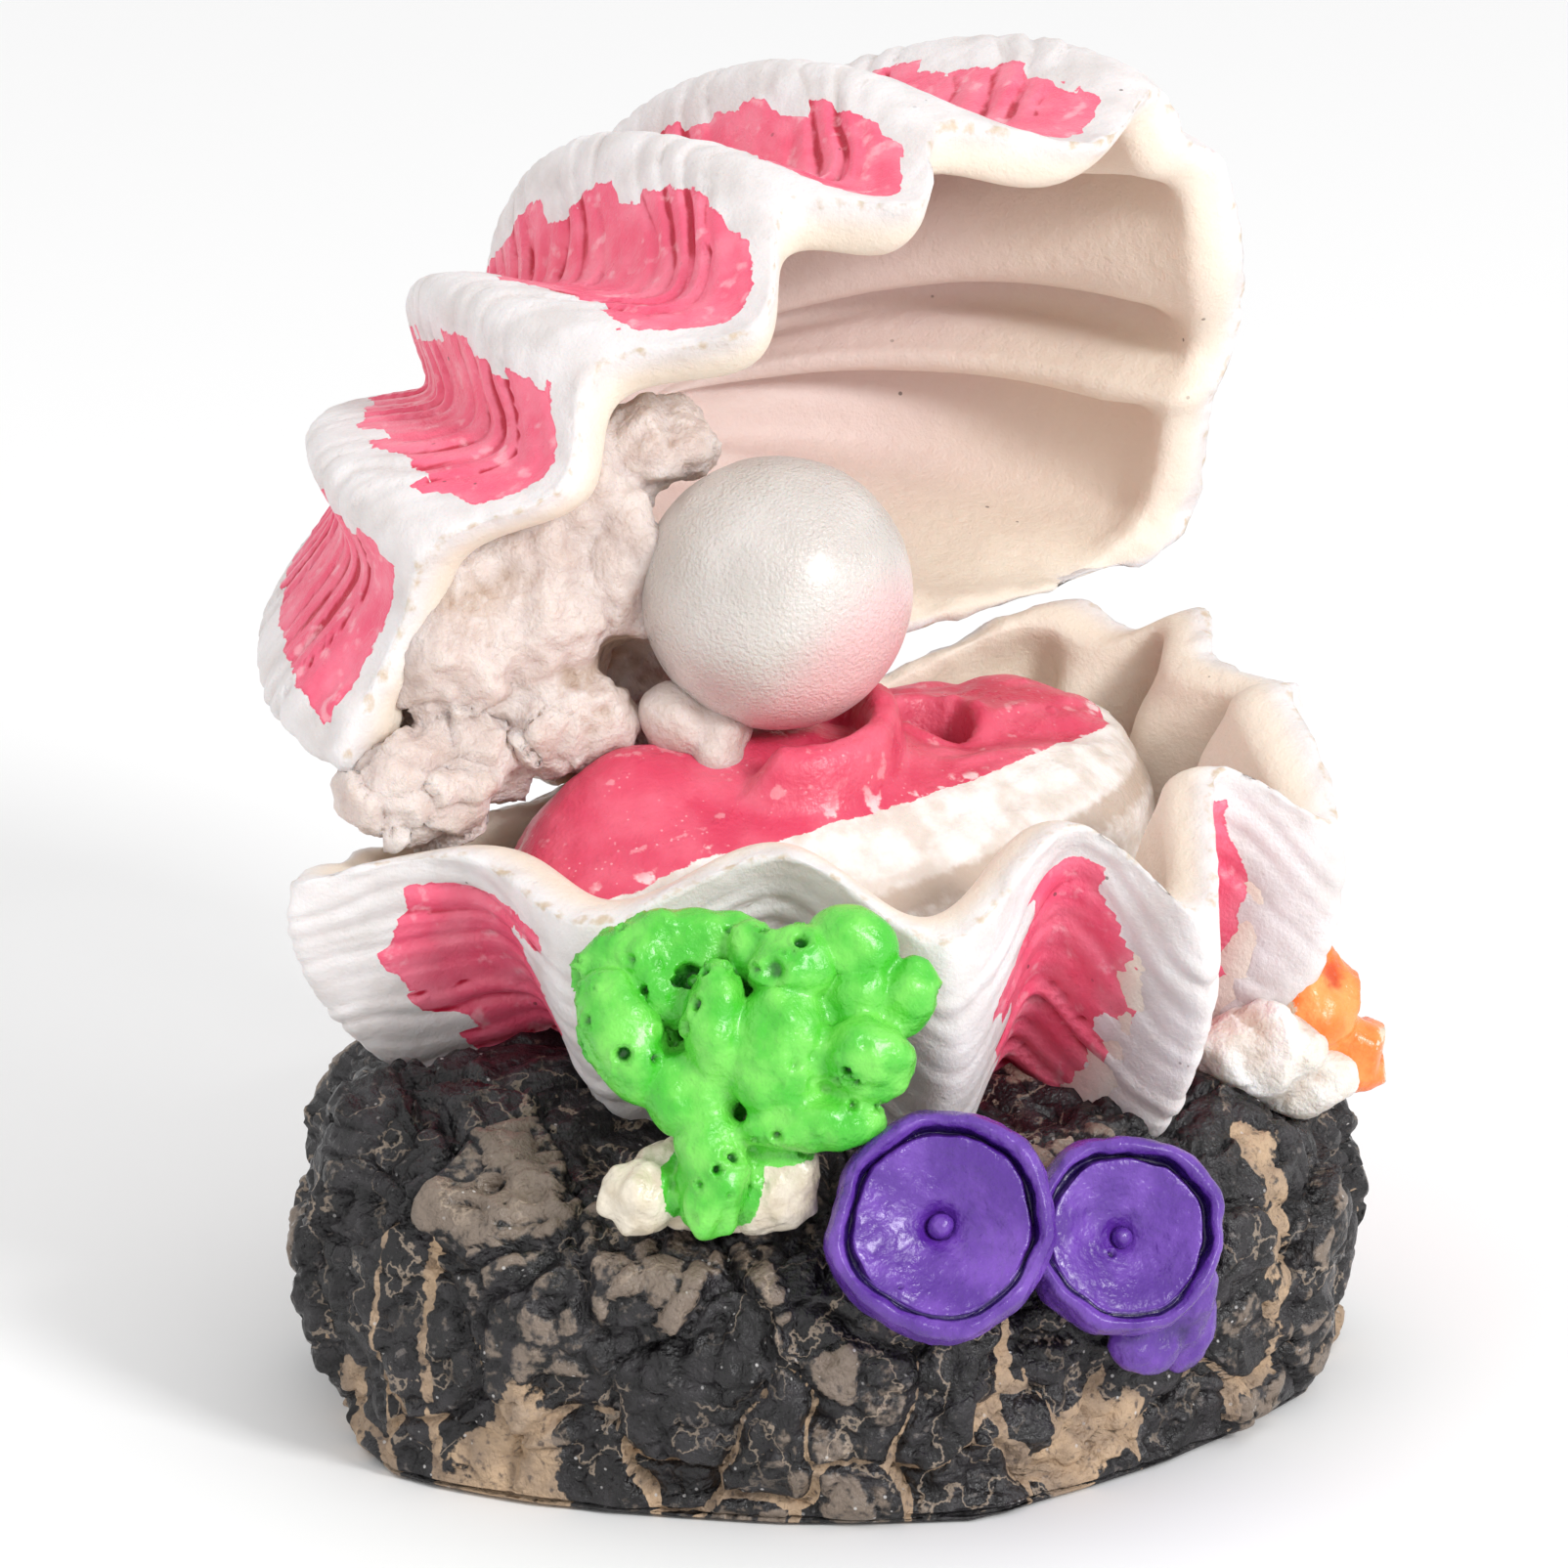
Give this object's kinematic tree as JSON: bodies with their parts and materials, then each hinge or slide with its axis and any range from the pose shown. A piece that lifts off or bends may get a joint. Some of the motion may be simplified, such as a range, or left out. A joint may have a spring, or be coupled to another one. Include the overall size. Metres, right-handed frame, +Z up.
{
  "type": "aquarium air bubbler ornament",
  "caption": "Open giant clam with a pearl on a coral rock; an airline nipple at the back feeds bubbles to an outlet beside the pearl.",
  "frame": {"origin": "centre of the flat underside of the rock", "axes": "+Z up, +X along the clam's hinge, -Y the way the clam opens, +Y the back with the airline nipple"},
  "size_m": [0.0639, 0.0597, 0.0627],
  "materials": {
    "rock": "glossy painted resin with dry-brushed tan edges",
    "shell": "satin painted resin, pink in the outer grooves",
    "resin": "bare cream casting resin",
    "pearl": "pearlescent gloss",
    "mantle": "glossy pink paint over pale resin",
    "green": "glossy bright green paint",
    "purple": "satin purple paint",
    "orange": "satin orange paint",
    "nipple": "translucent grey moulding"
  },
  "bodies": {
    "ornament": {"rock_base": "rock", "lower_valve": "shell", "upper_valve": "shell", "mantle": "mantle", "pearl": "pearl", "hinge_block": "resin", "hinge_bar": "resin", "pearl_bridge": "resin", "pearl_crown": "resin", "pearl_foot": "resin", "coral_stem": "green", "coral_lobe_1": "green", "coral_lobe_2": "green", "coral_lobe_3": "green", "coral_lobe_4": "green", "coral_lobe_5": "green", "coral_lobe_6": "green", "coral_lobe_7": "green", "coral_fan": "green", "polyp_large": "purple", "polyp_large_button": "purple", "polyp_small": "purple", "polyp_small_button": "purple", "polyp_drip": "purple", "orange_coral": "orange", "resin_web": "resin", "air_tube": "nipple"},
    "nipple": {"air_nipple": "nipple"}
  },
  "joints": [
    {"name": "nipple_pull", "type": "slide", "parent": "ornament", "child": "nipple", "axis": [0, 1, 0], "range_m": [0, 0.006]}
  ]
}
